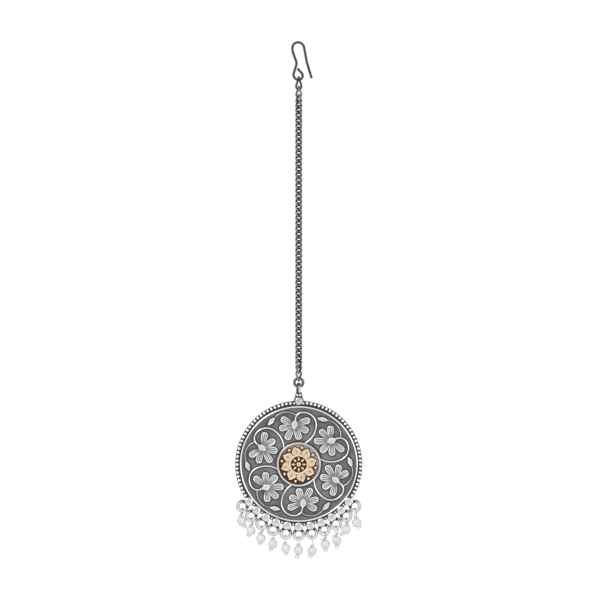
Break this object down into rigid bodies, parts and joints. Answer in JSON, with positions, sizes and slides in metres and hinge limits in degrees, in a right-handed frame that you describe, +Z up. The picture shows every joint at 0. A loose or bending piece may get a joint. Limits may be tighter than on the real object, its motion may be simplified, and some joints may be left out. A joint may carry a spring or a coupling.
{
  "type": "maang tikka",
  "caption": "Forehead jewel: a wire hook, a fine curb chain and a round pendant of oxidised silver with raised flowers, a gilt rosette and a fringe of pearl drops.",
  "frame": {"origin": "the inside top of the hook's bend, where hair or a pin carries the jewel", "axes": "+Z up along the hanging chain, -Y is the front of the disc and +Y its flat back, +X to the viewer's right"},
  "size_m": [0.0356, 0.0027, 0.1451],
  "materials": {
    "blackened_silver": "blackened silver wire, worn brighter where it rubs",
    "oxidised_silver": "silver, dark in the ground and polished on the raised work",
    "bright_silver": "polished silver wire",
    "gilt": "matte rose gilding over dark recesses",
    "pearl": "satin pearl lustre"
  },
  "bodies": {
    "hook": {"hook": "blackened_silver"},
    "chain": {"end_link": "blackened_silver", "chain": "blackened_silver"},
    "ring": {"jump_ring": "blackened_silver"},
    "pendant": {"pendant": "oxidised_silver", "gold_rosette": "gilt", "drop_pin_01": "bright_silver", "drop_pin_02": "bright_silver", "drop_pin_03": "bright_silver", "drop_pin_04": "bright_silver", "drop_pin_05": "bright_silver", "drop_pin_06": "bright_silver", "drop_pin_07": "bright_silver", "drop_pin_08": "bright_silver", "drop_pin_09": "bright_silver", "drop_pin_10": "bright_silver", "drop_pin_11": "bright_silver", "drop_bead_01": "pearl", "drop_bead_02": "pearl", "drop_bead_03": "pearl", "drop_bead_04": "pearl", "drop_bead_05": "pearl", "drop_bead_06": "pearl", "drop_bead_07": "pearl", "drop_bead_08": "pearl", "drop_bead_09": "pearl", "drop_bead_10": "pearl", "drop_bead_11": "pearl"}
  },
  "joints": [
    {"name": "chain_swing", "type": "hinge", "parent": "hook", "child": "chain", "pos_m": [0, 0, -0.0101], "axis": [1, 0, 0], "range_deg": [-80, 80]},
    {"name": "ring_sway", "type": "hinge", "parent": "chain", "child": "ring", "pos_m": [0, 0, -0.09445], "axis": [0, 1, 0], "range_deg": [-60, 60]},
    {"name": "pendant_swing", "type": "hinge", "parent": "ring", "child": "pendant", "pos_m": [0, 0, -0.0961], "axis": [1, 0, 0], "range_deg": [-80, 80]}
  ]
}
